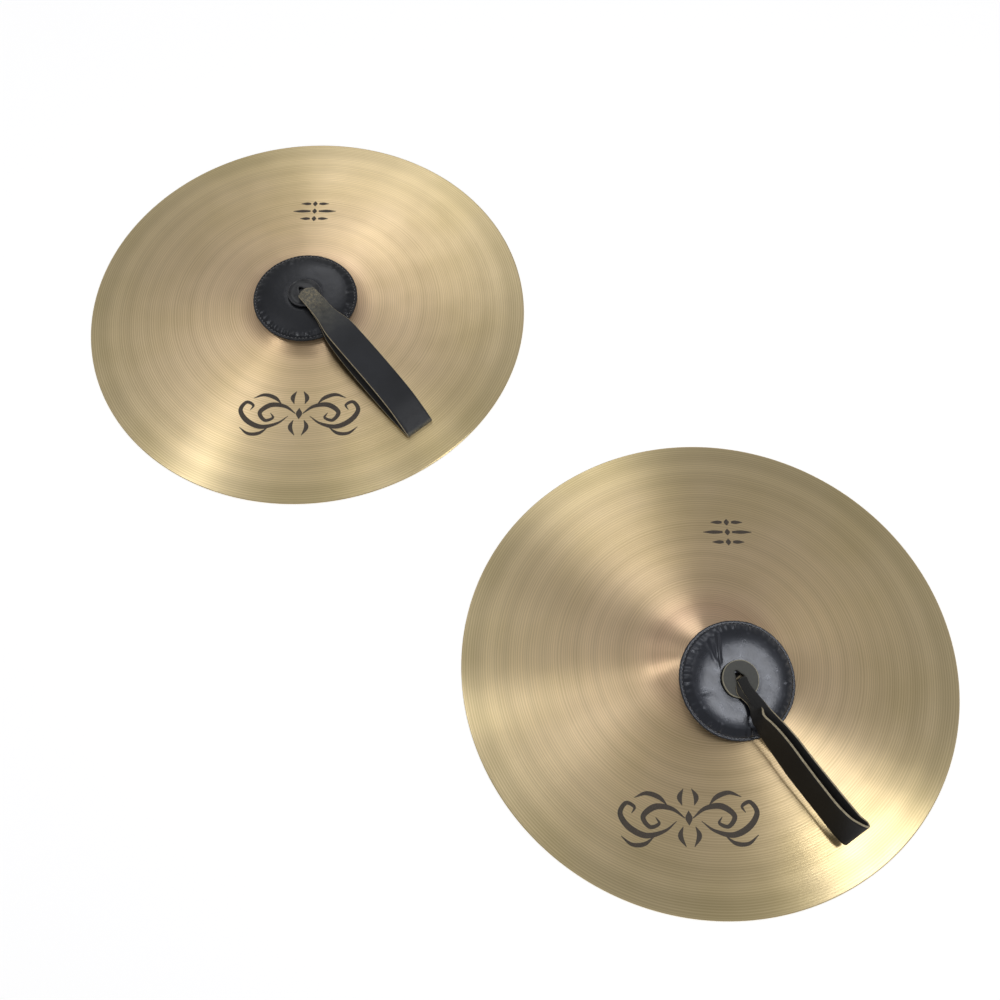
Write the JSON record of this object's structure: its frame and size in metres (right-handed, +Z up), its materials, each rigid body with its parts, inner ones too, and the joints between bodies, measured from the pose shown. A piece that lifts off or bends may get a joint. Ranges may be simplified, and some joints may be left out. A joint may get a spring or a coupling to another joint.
{
  "type": "hand cymbals",
  "caption": "Pair of large bronze hand cymbals, bell up, each with a round black leather pad and a leather hand strap that is knotted inside the bell.",
  "frame": {"origin": "on the surface that both cymbals rest on, midway between their centres", "axes": "+X from the left cymbal to the right one, +Z up through the bells"},
  "size_m": [1.128, 0.508, 0.0591],
  "materials": {
    "bronze": "lathe-turned bronze with fine concentric tool grooves",
    "pad_leather": "glossy black leather, puckered at its sewn edge",
    "lining_leather": "black suede side of the leather",
    "felt": "pressed wool felt",
    "thread": "waxed black thread",
    "washer_leather": "dark grey leather with a pale raw edge",
    "strap_leather": "black strap leather with pale raw edges, worn at its root"
  },
  "bodies": {
    "plate_left": {"plate_left": "bronze"},
    "strap_left": {"strap_tails_left": "strap_leather", "strap_knot_left": "strap_leather", "strap_ends_left": "strap_leather", "strap_neck_left": "strap_leather", "strap_washer_left": "washer_leather"},
    "pad_left": {"pad_cover_left": "pad_leather", "pad_lining_left": "lining_leather", "pad_felt_left": "felt", "pad_stitching_left": "thread"},
    "loop_left": {"strap_loop_left": "strap_leather"},
    "plate_right": {"plate_right": "bronze"},
    "strap_right": {"strap_tails_right": "strap_leather", "strap_knot_right": "strap_leather", "strap_ends_right": "strap_leather", "strap_slack_right": "strap_leather"},
    "hub_right": {"strap_neck_right": "strap_leather", "strap_washer_right": "washer_leather"},
    "pad_right": {"pad_cover_right": "pad_leather", "pad_lining_right": "lining_leather", "pad_felt_right": "felt", "pad_stitching_right": "thread"},
    "loop_right": {"strap_loop_right": "strap_leather"}
  },
  "joints": [
    {"name": "strap_swivel_left", "type": "hinge", "parent": "plate_left", "child": "strap_left", "pos_m": [-0.31, 0, 0.03], "axis": [0, 0, 1], "continuous": true},
    {"name": "pad_turn_left", "type": "hinge", "parent": "strap_left", "child": "pad_left", "pos_m": [-0.31, 0, 0.0314], "axis": [0, 0, 1], "continuous": true},
    {"name": "loop_tilt_left", "type": "hinge", "parent": "strap_left", "child": "loop_left", "pos_m": [-0.31, 0, 0.042], "axis": [-0.0924, -0.9957, 0], "range_deg": [0, 100]},
    {"name": "lift_right", "type": "slide", "parent": "plate_left", "child": "plate_right", "axis": [0, 0, 1], "range_m": [0, 0.4]},
    {"name": "strap_swivel_right", "type": "hinge", "parent": "plate_right", "child": "strap_right", "pos_m": [0.31, 0, 0.03], "axis": [0, 0, 1], "continuous": true},
    {"name": "pad_shift_right", "type": "hinge", "parent": "strap_right", "child": "hub_right", "pos_m": [0.33775, -0.00331, -0.11557], "axis": [0.1184, 0.993, 0], "range_deg": [-14, 0], "deforming": ["strap_slack_right"]},
    {"name": "pad_turn_right", "type": "hinge", "parent": "hub_right", "child": "pad_right", "pos_m": [0.34613, -0.00431, 0.03379], "axis": [0.2402, -0.0286, 0.9703], "continuous": true},
    {"name": "loop_tilt_right", "type": "hinge", "parent": "hub_right", "child": "loop_right", "pos_m": [0.34935, -0.00469, 0.0468], "axis": [-0.1977, -0.9803, 0], "range_deg": [0, 100]}
  ]
}
